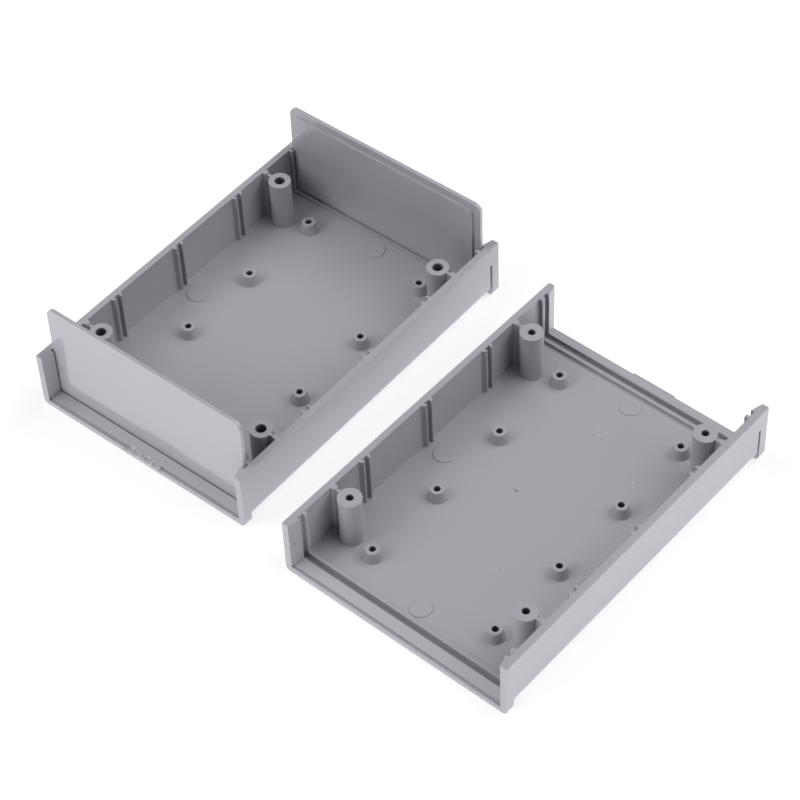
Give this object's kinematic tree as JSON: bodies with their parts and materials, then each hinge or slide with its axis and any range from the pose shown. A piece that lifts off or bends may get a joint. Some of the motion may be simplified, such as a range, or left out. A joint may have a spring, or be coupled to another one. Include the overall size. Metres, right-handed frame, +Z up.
{
  "type": "plastic project box",
  "caption": "Plastic project box, opened: base with end panels in its grooves, cover lying beside it, card guides, standoffs and screw posts.",
  "frame": {"origin": "middle of the bottom of the box that holds base and cover, on the surface that both stand on", "axes": "+X from the base across to the cover, +Y along the box from its front end to its rear end, +Z up out of the open halves"},
  "size_m": [0.2068, 0.142, 0.043],
  "materials": {
    "base_shell": "fine moulded texture, slight sheen",
    "cover_shell": "fine moulded texture, slight sheen",
    "front_panel": "smooth moulded face, slight sheen",
    "rear_panel": "smooth moulded face, slight sheen"
  },
  "bodies": {
    "base": {"base_shell": "base_shell", "cover_shell": "cover_shell"},
    "front_panel": {"front_panel": "front_panel"},
    "rear_panel": {"rear_panel": "rear_panel"}
  },
  "joints": [
    {"name": "front_panel_slide", "type": "slide", "parent": "base", "child": "front_panel", "axis": [0, 0, 1], "range_m": [0, 0.02]},
    {"name": "rear_panel_slide", "type": "slide", "parent": "base", "child": "rear_panel", "axis": [0, 0, 1], "range_m": [0, 0.02]}
  ]
}
